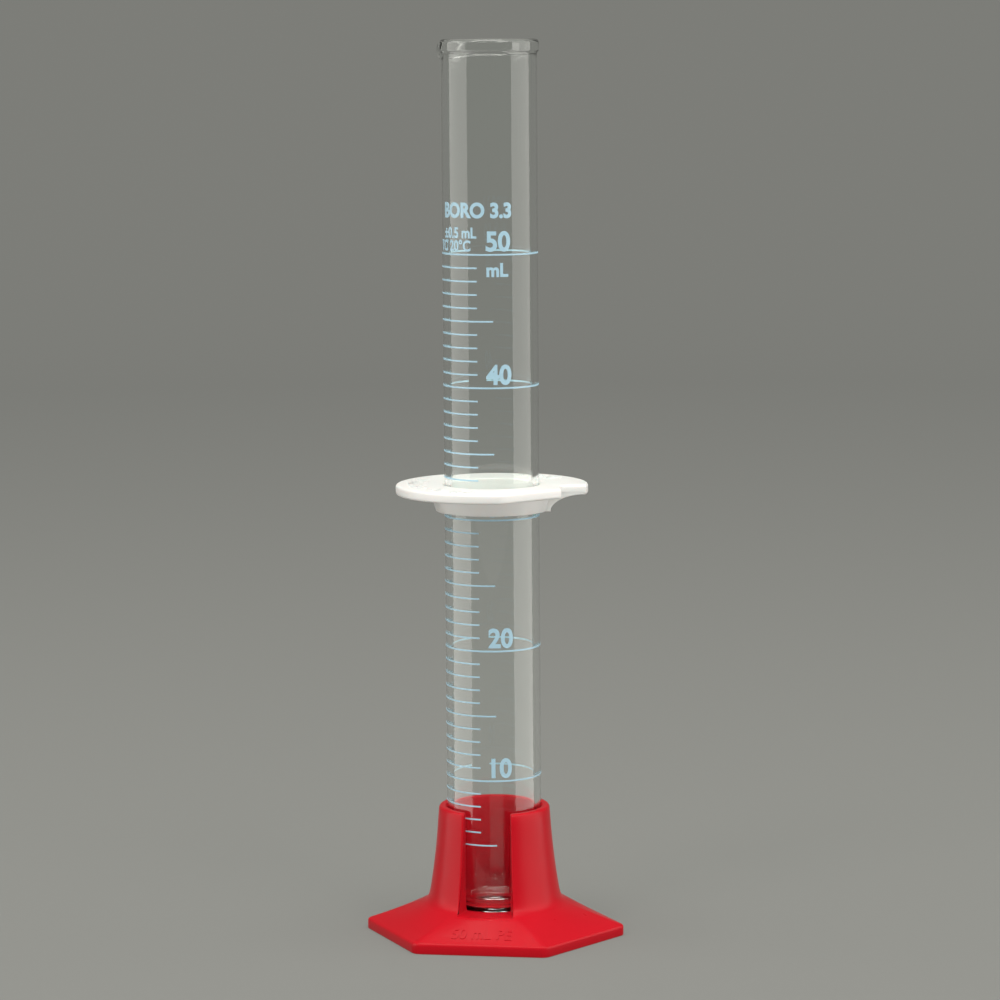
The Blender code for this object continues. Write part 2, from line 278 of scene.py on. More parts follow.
def new_mesh(name, bm):
    """Turn a bmesh into a mesh and free it."""
    mesh = bpy.data.meshes.new(name)
    bm.to_mesh(mesh)
    bm.free()
    return mesh


def add_object(name, data):
    """A new object in the scene."""
    added = bpy.data.objects.new(name, data)
    bpy.context.scene.collection.objects.link(added)
    return added


def make_piece(name, bm, material, body, sharp_angle=32.0):
    """Turn a bmesh into a smooth-shaded piece that rides on a body."""
    bmesh.ops.recalc_face_normals(bm, faces=bm.faces)
    mesh = new_mesh(name, bm)
    mesh.materials.append(material)
    mesh.shade_smooth()
    mesh.set_sharp_from_angle(angle=math.radians(sharp_angle))
    piece = add_object(name, mesh)
    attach(piece, body)
    return piece


def spin_profile(profile, steps):
    """Turn a profile of (radius, height) points about Z."""
    bm = bmesh.new()
    verts = [bm.verts.new((radius, 0.0, height)) for radius, height in profile]
    edges = [bm.edges.new(pair) for pair in zip(verts, verts[1:])]
    bmesh.ops.spin(bm, geom=verts + edges, cent=(0, 0, 0), axis=(0, 0, 1),
                   angle=math.tau, steps=steps, use_merge=True)
    bmesh.ops.remove_doubles(bm, verts=bm.verts, dist=1e-6)
    return bm


def skin_rings(bm, rings, closed):
    """Join rings of vertices, each with the same count, into a surface."""
    count = len(rings[0])
    pairs = list(zip(rings, rings[1:]))
    if closed:
        pairs.append((rings[-1], rings[0]))
    for lower, upper in pairs:
        for index in range(count):
            after = (index + 1) % count
            bm.faces.new((lower[index], lower[after], upper[after], upper[index]))


def join_bmesh(target, other):
    """Add one bmesh's shapes to another."""
    mesh = new_mesh("joining", other)
    target.from_mesh(mesh)
    bpy.data.meshes.remove(mesh)


def extrude_outline(outline, near_y, far_y):
    """A prism whose outline is drawn in XZ and which runs along Y."""
    bm = bmesh.new()
    face = bm.faces.new([bm.verts.new((x, near_y, z)) for x, z in outline])
    extruded = bmesh.ops.extrude_face_region(bm, geom=[face])
    moved = [item for item in extruded["geom"] if isinstance(item, bmesh.types.BMVert)]
    bmesh.ops.translate(bm, verts=moved, vec=(0, far_y - near_y, 0))
    return bm


def glyph_bmesh(text, cap_height, squeeze, weight, thickness):
    """Lettering in the built-in font as a flat solid, with its baseline at y = 0."""
    curve = bpy.data.curves.new("lettering", 'FONT')
    curve.body = text
    curve.size = 1.0
    curve.resolution_u = 6
    curve.align_x = 'CENTER'
    probe = add_object("lettering", curve)
    curve.body = "H"
    bpy.context.view_layer.update()
    cap = max(corner[1] for corner in probe.bound_box)
    curve.body = text
    scale = cap_height / cap
    curve.offset = weight / scale
    curve.extrude = thickness / 2 / scale
    bpy.context.view_layer.update()
    mesh = bpy.data.meshes.new_from_object(probe.evaluated_get(bpy.context.evaluated_depsgraph_get()))
    bm = bmesh.new()
    bm.from_mesh(mesh)
    bpy.data.meshes.remove(mesh)
    bpy.data.objects.remove(probe)
    bpy.data.curves.remove(curve)
    bmesh.ops.scale(bm, vec=(scale * squeeze, scale, scale), verts=bm.verts)
    bmesh.ops.remove_doubles(bm, verts=bm.verts, dist=1e-6)
    return bm


def slice_across(bm, spacing):
    """Cut a flat solid into narrow strips, so that it can be bent round the tube."""
    low = min(vert.co.x for vert in bm.verts)
    high = max(vert.co.x for vert in bm.verts)
    position = low + spacing
    while position < high:
        geometry = bm.verts[:] + bm.edges[:] + bm.faces[:]
        bmesh.ops.bisect_plane(bm, geom=geometry, plane_co=(position, 0, 0), plane_no=(1, 0, 0))
        position += spacing


# ---------------------------------------------------------------- materials

def new_material(name):
    """A material with its nodes and links."""
    material = bpy.data.materials.new(name)
    material.use_nodes = True
    return material, material.node_tree.nodes, material.node_tree.links


def noise(nodes, links, coordinates, scale, detail=4.0):
    """Noise that is fixed to the object."""
    texture = nodes.new("ShaderNodeTexNoise")
    texture.inputs["Scale"].default_value = scale
    texture.inputs["Detail"].default_value = detail
    links.new(coordinates.outputs["Object"], texture.inputs["Vector"])
    return texture


def map_range(nodes, links, source, low, high):
    """A value from 0 to 1 stretched between two others."""
    mapping = nodes.new("ShaderNodeMapRange")
    mapping.inputs["To Min"].default_value = low
    mapping.inputs["To Max"].default_value = high
    links.new(source, mapping.inputs["Value"])
    return mapping.outputs["Result"]


def colour_mix(nodes, links, factor, dark, light):
    """A colour that drifts between two others."""
    mix = nodes.new("ShaderNodeMix")
    mix.data_type = 'RGBA'
    links.new(factor, mix.inputs["Factor"])
    mix.inputs["A"].default_value = (*dark, 1.0)
    mix.inputs["B"].default_value = (*light, 1.0)
    return mix.outputs["Result"]


def bump(nodes, links, shader, height, strength, distance):
    """Fine relief on a shader."""
    node = nodes.new("ShaderNodeBump")
    node.inputs["Strength"].default_value = strength
    node.inputs["Distance"].default_value = distance
    links.new(height, node.inputs["Height"])
    links.new(node.outputs["Normal"], shader.inputs["Normal"])


def moulded_plastic(name, dark, light, gloss_low, gloss_high, subsurface, grain, specular):
    """Moulded plastic: slow colour drift, satin patches and a fine moulded grain."""
    material, nodes, links = new_material(name)
    shader = nodes["Principled BSDF"]
    coordinates = nodes.new("ShaderNodeTexCoord")
    drift = noise(nodes, links, coordinates, scale=55.0)
    links.new(colour_mix(nodes, links, drift.outputs["Fac"], dark, light), shader.inputs["Base Color"])
    satin = noise(nodes, links, coordinates, scale=240.0, detail=6.0)
    roughness = map_range(nodes, links, satin.outputs["Fac"], gloss_low, gloss_high)
    links.new(roughness, shader.inputs["Roughness"])
    fine = noise(nodes, links, coordinates, scale=1400.0, detail=3.0)
    bump(nodes, links, shader, fine.outputs["Fac"], strength=grain, distance=0.05 * MM)
    shader.inputs["IOR"].default_value = 1.5
    shader.inputs["Specular IOR Level"].default_value = specular
    shader.inputs["Subsurface Weight"].default_value = subsurface
    shader.inputs["Subsurface Radius"].default_value = (1.0, 0.6, 0.5)
    shader.inputs["Subsurface Scale"].default_value = 1.5 * MM
    return material


def clear_glass():
    """Borosilicate glass with the faint draw lines of tubing."""
    material, nodes, links = new_material("clear_glass")
    shader = nodes["Principled BSDF"]
    shader.inputs["Base Color"].default_value = (0.985, 1.0, 0.99, 1.0)
    shader.inputs["Transmission Weight"].default_value = 1.0
    shader.inputs["IOR"].default_value = 1.473
    coordinates = nodes.new("ShaderNodeTexCoord")
    handling = noise(nodes, links, coordinates, scale=90.0, detail=5.0)
    roughness = map_range(nodes, links, handling.outputs["Fac"], low=0.0, high=0.01)
    links.new(roughness, shader.inputs["Roughness"])
    stretch = nodes.new("ShaderNodeMapping")
    stretch.inputs["Scale"].default_value = (1.0, 1.0, 0.04)
    links.new(coordinates.outputs["Object"], stretch.inputs["Vector"])
    ripple = nodes.new("ShaderNodeTexNoise")
    ripple.inputs["Scale"].default_value = 160.0
    ripple.inputs["Detail"].default_value = 1.0
    links.new(stretch.outputs["Vector"], ripple.inputs["Vector"])
    bump(nodes, links, shader, ripple.outputs["Fac"], strength=0.05, distance=0.02 * MM)
    # Light passes through the glass, so that its shadow stays pale.
    path = nodes.new("ShaderNodeLightPath")
    clear = nodes.new("ShaderNodeBsdfTransparent")
    clear.inputs["Color"].default_value = (0.93, 0.95, 0.94, 1.0)
    mix = nodes.new("ShaderNodeMixShader")
    links.new(path.outputs["Is Shadow Ray"], mix.inputs["Fac"])
    links.new(shader.outputs["BSDF"], mix.inputs[1])
    links.new(clear.outputs["BSDF"], mix.inputs[2])
    links.new(mix.outputs["Shader"], nodes["Material Output"].inputs["Surface"])
    return material


def enamel_ink():
    """Pale blue enamel, fired onto the glass, slightly uneven and slightly see-through."""
    material, nodes, links = new_material("blue_enamel")
    shader = nodes["Principled BSDF"]
    coordinates = nodes.new("ShaderNodeTexCoord")
    drift = noise(nodes, links, coordinates, scale=700.0)
    tint = colour_mix(nodes, links, drift.outputs["Fac"], dark=(0.36, 0.56, 0.69), light=(0.42, 0.63, 0.76))
    links.new(tint, shader.inputs["Base Color"])
    roughness = map_range(nodes, links, drift.outputs["Fac"], low=0.35, high=0.55)
    links.new(roughness, shader.inputs["Roughness"])
    grain = noise(nodes, links, coordinates, scale=3000.0, detail=2.0)
    bump(nodes, links, shader, grain.outputs["Fac"], strength=0.3, distance=0.02 * MM)
    shader.inputs["Alpha"].default_value = 0.93
    return material


# ---------------------------------------------------------------- glass tube

def tube_floor_z():
    """Height of the bore's floor that puts exactly 10 mL below the 10 mL ring."""
    corner_centre = BORE_RADIUS - FLOOR_FILLET
    fillet_area = (1 - math.pi / 4) * FLOOR_FILLET ** 2
    fillet_centroid = corner_centre + FLOOR_FILLET * (10 - 3 * math.pi) / (12 - 3 * math.pi)
    lost_height = math.tau * fillet_centroid * fillet_area / (math.pi * BORE_RADIUS ** 2)
    return TEN_ML_RING_Z - 10 * MILLILITRE_HEIGHT - lost_height


def tube_profile():
    """Floor of the bore, inner wall, rim bead, outer wall, heel and outer bottom."""
    floor_z = tube_floor_z()
    bead_bottom_z = RIM_Z - RIM_BEAD_HEIGHT
    rim_half = (RIM_BEAD_RADIUS - BORE_RADIUS) / 2
    rim_centre = BORE_RADIUS + rim_half
    climb = [SPOUT_START_Z] + spaced(SPOUT_START_Z, bead_bottom_z - RIM_NECK_ROUND, SPOUT_RINGS)
    fillet_top = floor_z + FLOOR_FILLET
    profile = [(0.0, floor_z)]
    profile += [(radius, floor_z) for radius in spaced(0.0, BORE_RADIUS - FLOOR_FILLET, FLOOR_RINGS)]
    profile += arc(BORE_RADIUS - FLOOR_FILLET, fillet_top, FLOOR_FILLET, -90, 0, FILLET_POINTS)
    profile += [(BORE_RADIUS, height) for height in spaced(fillet_top, SPOUT_START_Z, WALL_RINGS)]
    profile += [(BORE_RADIUS, height) for height in climb]
    profile += [(BORE_RADIUS, bead_bottom_z)]
    profile += arc(rim_centre, RIM_Z - rim_half, rim_half, 180, 0, RIM_POINTS)
    round_z = bead_bottom_z + RIM_NECK_ROUND + RIM_BEAD_ROUND
    profile += [(RIM_BEAD_RADIUS, height) for height in spaced(RIM_Z - rim_half, round_z, 2)]
    profile += arc(RIM_BEAD_RADIUS - RIM_BEAD_ROUND, round_z - RIM_BEAD_SAG, RIM_BEAD_ROUND,
                   0, -70, NECK_POINTS)
    neck = arc(TUBE_RADIUS + RIM_NECK_ROUND, bead_bottom_z - RIM_BEAD_SAG, RIM_NECK_ROUND,
               90, 180, NECK_POINTS)
    profile += [point for point in neck if point[0] < RIM_BEAD_RADIUS - RIM_NECK_OVERLAP]
    profile += [(TUBE_RADIUS, height) for height in reversed(climb)]
    heel_top = TUBE_BOTTOM_Z + HEEL_FILLET
    profile += [(TUBE_RADIUS, height) for height in reversed(spaced(heel_top, SPOUT_START_Z, WALL_RINGS))]
    profile += arc(TUBE_RADIUS - HEEL_FILLET, heel_top, HEEL_FILLET, 0, -90, FILLET_POINTS)
    profile += [(HEEL_LAND, TUBE_BOTTOM_Z)]
    for share in spaced(0.0, 1.0, HEEL_RINGS):
        lift = HEEL_DIMPLE * math.sin(math.pi / 2 * share) ** 2
        profile.append((HEEL_LAND * (1 - share), TUBE_BOTTOM_Z + lift))
    profile.append((0.0, TUBE_BOTTOM_Z + HEEL_DIMPLE))
    return profile


def draw_spout(bm):
    """Draw the rim out into a spout, inner and outer wall together."""
    for vert in bm.verts:
        radius = math.hypot(vert.co.x, vert.co.y)
        if vert.co.z <= SPOUT_START_Z or radius < 1e-6:
            continue
        turn = abs(math.remainder(math.atan2(vert.co.y, vert.co.x) - SPOUT_AZIMUTH, math.tau))
        if turn >= SPOUT_HALF_ANGLE:
            continue
        across = math.cos(math.pi / 2 * turn / SPOUT_HALF_ANGLE) ** 2
        climb = (vert.co.z - SPOUT_START_Z) / (RIM_Z - SPOUT_START_Z)
        pull = across * climb ** 2
        outward = Vector((vert.co.x, vert.co.y, 0.0)).normalized()
        vert.co += outward * SPOUT_REACH * pull
        vert.co.z -= SPOUT_DROP * pull


def build_tube(glass):
    """The glass tube, closed at its bottom and open at its spouted rim."""
    bm = spin_profile(tube_profile(), TUBE_STEPS)
    draw_spout(bm)
    tube = make_piece("measuring_tube", bm, glass, "tube", sharp_angle=75.0)
    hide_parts("glass_tube")


# ---------------------------------------------------------------- foot

def hexagon_radius(angle, inset=0.0):
    """Distance from the axis to a rounded hexagon with corners along X, in one direction."""
    apothem = FOOT_CORNER_RADIUS * math.cos(math.pi / 6) - inset
    fillet = max(FOOT_CORNER_FILLET - inset, SMALLEST_FILLET)
    turn = abs((angle + math.pi / 6) % (math.pi / 3) - math.pi / 6)
    from_flat = math.pi / 6 - turn
    flat_half = (apothem - fillet) * math.tan(math.pi / 6)
    if apothem * math.tan(from_flat) <= flat_half:
        return apothem / math.cos(from_flat)
    corner = (apothem - fillet) / math.cos(math.pi / 6)
    return corner * math.cos(turn) + math.sqrt(max(fillet ** 2 - (corner * math.sin(turn)) ** 2, 0.0))


def slope_height(share):
    """Height of the foot's top, from the edge at 0 to the cone's base at 1."""
    return FOOT_EDGE_HEIGHT + (SOCKET_BASE_Z - FOOT_EDGE_HEIGHT) * share


def cone_section():
    """The socket's wall: hollow sweep at the base, outer cone, rounded lip and bore."""
    lean = math.atan2(SOCKET_BASE_RADIUS - SOCKET_TOP_RADIUS, SOCKET_TOP_Z - SOCKET_BASE_Z)
    points = []
    for step in range(CONE_POINTS):
        share = step / (CONE_POINTS - 1)
        climb = (SOCKET_TOP_Z - SOCKET_LIP_ROUND - SOCKET_BASE_Z) * share ** CONE_EASE
        sweep = SOCKET_FILLET * math.exp(-climb / (SWEEP_SHARE * SOCKET_FILLET))
        belly = CONE_BELLY * math.sin(math.pi * share ** CONE_EASE)
        radius = SOCKET_BASE_RADIUS - climb * math.tan(lean) + sweep - belly
        points.append((radius, SOCKET_BASE_Z + climb))
    crown = SOCKET_TOP_Z - SOCKET_LIP_ROUND
    lip = arc(SOCKET_TOP_RADIUS - SOCKET_LIP_ROUND, crown, SOCKET_LIP_ROUND, 0, 90, LIP_POINTS // 2)
    points += lip[1:]
    inner_crown = SOCKET_TOP_Z - SOCKET_INNER_ROUND
    inner = arc(WELL_RADIUS + SOCKET_INNER_ROUND, inner_crown, SOCKET_INNER_ROUND, 90, 180, LIP_POINTS // 2)
    points += inner[:-1]
    for step in range(BORE_POINTS):
        drop = (inner_crown - SOCKET_BASE_Z) * step / (BORE_POINTS - 1)
        points.append((WELL_RADIUS, inner_crown - drop))
    return points


def slot_section(count, raised):
    """The floor of the slot, from the cone's base in to the well, at one height."""
    outer = SOCKET_BASE_RADIUS + SOCKET_FILLET
    points = []
    for step in range(count):
        share = step / (count - 1)
        radius = outer + (WELL_RADIUS - outer) * share
        taper = min(1.0, share / SLOT_FLOOR_TAPER)
        points.append((radius, SOCKET_BASE_Z + raised * taper))
    return points


def inset_section(points, depth):
    """The wall's section drawn in from its faces, less so near its base."""
    middle = (SOCKET_TOP_RADIUS + WELL_RADIUS) / 2
    drawn = []
    for index, (radius, height) in enumerate(points):
        before = points[max(index - 1, 0)]
        after = points[min(index + 1, len(points) - 1)]
        along_r, along_z = after[0] - before[0], after[1] - before[1]
        length = math.hypot(along_r, along_z) or 1.0
        normal_r, normal_z = -along_z / length, along_r / length
        hold = min(1.0, max(0.0, (height - SOCKET_BASE_Z) / WALL_HOLD_HEIGHT))
        radius += normal_r * depth * hold
        height += normal_z * depth * hold
        if abs(radius - middle) < WALL_MIDDLE_SNAP:
            radius = middle
        drawn.append((radius, height))
    return drawn


def foot_columns():
    """(angle, wall section) for every direction around the foot, starting at the slot's middle."""
    full = cone_section()
    count = len(full)
    wall_mid = (SOCKET_TOP_RADIUS + SOCKET_BASE_RADIUS) / 2
    columns = []
    edge = SLOT_HALF_ANGLE
    fillet_turn = SLOT_FLOOR_FILLET / wall_mid
    round_turn = SLOT_EDGE_ROUND / wall_mid
    for step in range(SLOT_FLOOR_COLUMNS + 1):
        columns.append(((edge - fillet_turn) * step / SLOT_FLOOR_COLUMNS, slot_section(count, 0.0)))
    for turn in (30, 60, 90):
        angle = math.radians(turn)
        offset = fillet_turn * (1 - math.sin(angle))
        raised = SLOT_FLOOR_FILLET * (1 - math.cos(angle))
        columns.append((edge - offset, slot_section(count, raised)))
    for turn in (88, 66, 44, 22, 0):
        angle = math.radians(turn)
        offset = round_turn * (1 - math.sin(angle)) + SLOT_EDGE_GAP
        columns.append((edge + offset, inset_section(full, SLOT_EDGE_ROUND * (1 - math.cos(angle)))))
    wall_start = columns[-1][0]
    for step in range(1, WALL_COLUMNS + 1):
        columns.append((wall_start + (math.pi - wall_start) * step / WALL_COLUMNS, full))
    return columns


def foot_grid():
    """Both halves of the foot as one list of (azimuth, wall section), once round."""
    half = foot_columns()
    full = half[-1][1]
    corner_turns = [math.radians(corner + CORNER_NUDGE * step) for corner in FOOT_CORNER_TURNS
                    for step in range(-3, 4)]
    kept = []
    for angle, section in half:
        near_corner = any(abs(angle - turn) < CORNER_CLEARANCE for turn in corner_turns)
        if not near_corner or section is not full:
            kept.append((angle, section))
    kept += [(turn, full) for turn in corner_turns if turn > SLOT_HALF_ANGLE + 4 * CORNER_CLEARANCE]
    kept.sort(key=lambda column: column[0])
    right = [(SLOT_AZIMUTH + angle, section) for angle, section in kept]
    left = [(SLOT_AZIMUTH - angle, section) for angle, section in reversed(kept[1:-1])]
    return right + left


def slot_turn(angle, radius):
    """Turn a direction so that the slot's edges follow its flared prism at this radius."""
    spread = 1 + SLOT_FLARE ** 2
    half = SLOT_HALF_WIDTH_AT_AXIS
    root = math.sqrt((half * SLOT_FLARE) ** 2 + spread * (radius ** 2 - half ** 2))
    depth = (root - half * SLOT_FLARE) / spread
    shift = math.atan2(half + SLOT_FLARE * depth, depth) - SLOT_HALF_ANGLE
    away = math.remainder(angle - SLOT_AZIMUTH, math.tau)
    turn = abs(away)
    if turn <= SLOT_HALF_ANGLE:
        weight = turn / SLOT_HALF_ANGLE
    else:
        weight = max(0.0, 1 - (turn - SLOT_HALF_ANGLE) / SLOT_FADE)
    return SLOT_AZIMUTH + math.copysign(turn + shift * weight, away)


def foot_shell():
    """Rings from the underside's centre, over the foot and the wall, to the well's floor."""
    bm = bmesh.new()
    grid = foot_grid()
    angles = [angle for angle, section in grid]
    sections = [section for angle, section in grid]

    def circle(radius, height):
        turned = [slot_turn(angle, WELL_RADIUS) for angle in angles]
        return [bm.verts.new(around(radius, angle, height)) for angle in turned]

    def blend(inset, share, inner, height):
        """A ring part way from the hexagon to a circle."""
        ring = []
        for angle in angles:
            reach = hexagon_radius(angle, inset)
            turned = slot_turn(angle, inner) if share else angle
            x = (1 - share) * reach * math.cos(angle) + share * inner * math.cos(turned)
            y = (1 - share) * FOOT_DEPTH_SHARE * reach * math.sin(angle) + share * inner * math.sin(turned)
            ring.append(bm.verts.new((x, y, height)))
        return ring

    def hexagon(inset, height):
        return blend(inset, 0.0, 0.0, height)

    rings = [circle(BOSS_RADIUS, 0.0)]
    rings.append(circle(BOSS_RADIUS + BOSS_DRAFT, SOCKET_BASE_Z - FOOT_WALL))
    rings.append(circle(SOCKET_BASE_RADIUS, SOCKET_BASE_Z - FOOT_WALL))
    rings.append(hexagon(FOOT_RIM_WIDTH + RIM_DRAFT, FOOT_EDGE_HEIGHT - FOOT_WALL + RIM_CEILING_GAP))
    rings.append(hexagon(FOOT_RIM_WIDTH, 0.0))
    rings.append(hexagon(FOOT_HEEL, 0.0))
    rings.append(hexagon(0.3 * FOOT_HEEL, 0.3 * FOOT_HEEL))
    rings.append(hexagon(0.0, FOOT_HEEL))
    for inset, drop in quarter_round(FOOT_EDGE_ROUND, (0, 18, 36, 54, 70)):
        rings.append(hexagon(inset, FOOT_EDGE_HEIGHT - drop))
    outer = SOCKET_BASE_RADIUS + SOCKET_FILLET
    for step_share in spaced(0.0, 1.0, SLOPE_POINTS):
        share = SLOPE_START + (1 - SLOPE_START) * step_share
        rings.append(blend(FOOT_EDGE_ROUND, share, outer, slope_height(share)))
    for index in range(len(sections[0])):
        wall = []
        for angle, section in grid:
            radius, height = section[index]
            wall.append(bm.verts.new(around(radius, slot_turn(angle, radius), height)))
        rings.append(wall)
    for inset, lift in quarter_round(WELL_FILLET, (0, 30, 60, 90)):
        rings.append(circle(WELL_RADIUS - inset, WELL_FLOOR_Z + lift))
    skin_rings(bm, rings, closed=False)
    underside = bm.verts.new((0.0, 0.0, 0.0))
    well = bm.verts.new((0.0, 0.0, WELL_FLOOR_Z))
    for index in range(len(grid)):
        after = (index + 1) % len(grid)
        bm.faces.new((underside, rings[0][after], rings[0][index]))
        bm.faces.new((well, rings[-1][index], rings[-1][after]))
    return bm


def foot_ribs():
    """Six ribs under the foot, from the boss under the well to the corners of the rim."""
    inner = BOSS_RADIUS - RIB_SINK
    crown_z = SOCKET_BASE_Z - FOOT_WALL + RIB_LAP
    ribs = bmesh.new()
    for index in range(RIB_COUNT):
        turn = math.tau * index / RIB_COUNT
        corner = Vector((math.cos(turn), FOOT_DEPTH_SHARE * math.sin(turn))) * FOOT_CORNER_RADIUS
        tip = corner.length - FOOT_RIM_WIDTH + RIB_LAP
        outline = [(inner, RIB_RECESS), (tip, RIB_RECESS), (tip, FOOT_EDGE_HEIGHT - RIB_LAP),
                   (SOCKET_BASE_RADIUS, crown_z), (SOCKET_BASE_RADIUS - 2 * RIB_LAP, crown_z),
                   (inner, WELL_FLOOR_Z - RIB_SINK)]
        rib = extrude_outline(outline, -RIB_THICKNESS / 2, RIB_THICKNESS / 2)
        matrix = Matrix.Rotation(math.atan2(corner.y, corner.x), 4, 'Z')
        bmesh.ops.transform(rib, matrix=matrix, verts=rib.verts)
        join_bmesh(ribs, rib)
    return ribs


def lay_on(letters, tree):
    """Drop flat lettering onto a surface, half sunk into it."""
    down = Vector((0, 0, -1))
    for vert in letters.verts:
        above = Vector((vert.co.x, vert.co.y, 1.0))
        vert.co.z += tree.ray_cast(above, down)[0].z


def raised_foot_lettering(tree, red):
    """Low raised lettering across the front slope of the foot."""
    letters = glyph_bmesh(FOOT_LETTERING, FOOT_LETTER_HEIGHT, LETTER_SPREAD, FOOT_LETTER_WEIGHT,
                          2 * LETTER_RELIEF)
    slice_across(letters, LETTER_STRIP)
    bmesh.ops.translate(letters, verts=letters.verts, vec=(-middle_x(letters), FOOT_LETTER_Y, 0))
    lay_on(letters, tree)
    make_piece("foot_lettering", letters, red, "foot")


def build_foot(red):
    """The foot with its socket, ribs and raised lettering."""
    bm = foot_shell()
    raised_foot_lettering(BVHTree.FromBMesh(bm), red)
    join_bmesh(bm, foot_ribs())
    foot = make_piece("foot_moulding", bm, red, "foot", sharp_angle=40.0)
    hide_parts("hexagonal_foot")


# ---------------------------------------------------------------- bumper ring

def ring_outline():
    """Points of the disc's plan: a circle with a flat, a notch and a tab, going anticlockwise."""
    flat_half = math.acos(FLAT_DISTANCE / RING_RADIUS)
    flat_start = FLAT_AZIMUTH - flat_half
    tab_outer = math.asin(TAB_FRONT_Y / RING_RADIUS)
    direction = Vector((math.cos(FLAT_AZIMUTH), math.sin(FLAT_AZIMUTH)))
    notch_corner_y = (FLAT_DISTANCE - NOTCH_X * direction.x) / direction.y
    points = []
    start = tab_outer
    end = flat_start + math.tau
    for step in range(RING_STEPS + 1):
        angle = start + (end - start) * step / RING_STEPS
        points.append(Vector((RING_RADIUS * math.cos(angle), RING_RADIUS * math.sin(angle))))
    flat_end = Vector((NOTCH_X, notch_corner_y))
    for share in spaced(0.0, 1.0, FLAT_POINTS):
        points.append(points[RING_STEPS].lerp(flat_end, share))
    points.append(flat_end)
    inner = Vector((NOTCH_X, TAB_FRONT_Y))
    for share in spaced(0.0, 1.0, NOTCH_POINTS):
        points.append(flat_end.lerp(inner, share))
    points.append(inner)
    for share in spaced(0.0, 1.0, TAB_POINTS):
        points.append(inner.lerp(points[0], share))
    return points


def offset_outline(points, depth):
    """The outline drawn in by a distance, with mitred corners."""
    moved = []
    count = len(points)
    for index, point in enumerate(points):
        before = (point - points[index - 1]).normalized()
        after = (points[(index + 1) % count] - point).normalized()
        normal = Vector((-before.y - after.y, before.x + after.x)).normalized()
        stretch = max(0.5, normal.dot(Vector((-before.y, before.x))))
        moved.append(point + normal * depth / stretch)
    return moved


def ring_shell():
    """The disc and its collar: up the bore, over the top, round the edge and down the collar."""
    bm = bmesh.new()
    outline = ring_outline()
    underside_z = RING_TOP_Z - RING_THICKNESS

    def plan(depth, height):
        return [bm.verts.new((point.x, point.y, height)) for point in offset_outline(outline, depth)]

    def circle(radius, height):
        return [bm.verts.new((*(point.normalized() * radius), height)) for point in outline]

    rings = [circle(RING_BORE_RADIUS, COLLAR_BOTTOM_Z + 0.2 * MM)]
    rings.append(circle(RING_BORE_RADIUS, RING_TOP_Z - 0.3 * MM))
    rings.append(circle(RING_BORE_RADIUS + 0.1 * MM, RING_TOP_Z - 0.1 * MM))
    rings.append(circle(RING_BORE_RADIUS + 0.3 * MM, RING_TOP_Z))
    rings.append(circle(RING_BORE_RADIUS + 1.5 * MM, RING_TOP_Z))
    for inset, drop in quarter_round(RING_EDGE_ROUND, QUARTER_TURNS):
        rings.append(plan(inset, RING_TOP_Z - drop))
    for inset, lift in quarter_round(RING_EDGE_ROUND, reversed(QUARTER_TURNS)):
        rings.append(plan(inset, underside_z + lift))
    for inset, drop in quarter_round(COLLAR_FILLET, QUARTER_TURNS):
        rings.append(circle(COLLAR_TOP_RADIUS + inset, underside_z - drop))
    rings.append(circle(COLLAR_BOTTOM_RADIUS, COLLAR_BOTTOM_Z + 0.3 * MM))
    rings.append(circle(COLLAR_BOTTOM_RADIUS - 0.1 * MM, COLLAR_BOTTOM_Z + 0.1 * MM))
    rings.append(circle(COLLAR_BOTTOM_RADIUS - 0.3 * MM, COLLAR_BOTTOM_Z))
    rings.append(circle(RING_BORE_RADIUS + 0.2 * MM, COLLAR_BOTTOM_Z))
    skin_rings(bm, rings, closed=True)
    return bm


def gusset_web():
    """The web under the tab, whose lower edge is a hollow quarter of an ellipse."""
    underside_z = RING_TOP_Z - RING_THICKNESS
    reach = GUSSET_TIP_X - GUSSET_FOOT_X
    drop = underside_z - COLLAR_BOTTOM_Z
    foot_z = COLLAR_BOTTOM_Z + GUSSET_LIFT
    outline = [(GUSSET_INNER_X, underside_z + GUSSET_LAP), (GUSSET_INNER_X, foot_z)]
    for step in range(GUSSET_STEPS + 1):
        angle = math.pi / 2 * step / GUSSET_STEPS
        outline.append((GUSSET_TIP_X - reach * math.cos(angle), foot_z + drop * math.sin(angle)))
    outline.append((GUSSET_TIP_X, underside_z + GUSSET_LAP))
    front = TAB_FRONT_Y + GUSSET_SETBACK
    web = extrude_outline(outline, front, front + GUSSET_THICKNESS)
    rims = [edge for edge in web.edges if abs(edge.verts[0].co.y - edge.verts[1].co.y) < 1e-7]
    bmesh.ops.bevel(web, geom=rims, offset=GUSSET_EDGE_ROUND, segments=3, profile=0.5, affect='EDGES')
    return web


def raised_ring_lettering(white):
    """Low raised lettering round the disc's top, read from the front."""
    bm = bmesh.new()
    for text, turn in RING_LETTERING:
        letters = glyph_bmesh(text, RING_LETTER_HEIGHT, LETTER_SPREAD, RING_LETTER_WEIGHT,
                              2 * LETTER_RELIEF)
        slice_across(letters, LETTER_STRIP)
        middle = middle_x(letters)
        for vert in letters.verts:
            angle = math.radians(turn) + (vert.co.x - middle) / RING_LETTER_RADIUS
            vert.co = around(RING_LETTER_RADIUS - vert.co.y, angle, RING_TOP_Z + vert.co.z)
        join_bmesh(bm, letters)
    make_piece("ring_lettering", bm, white, "bumper")


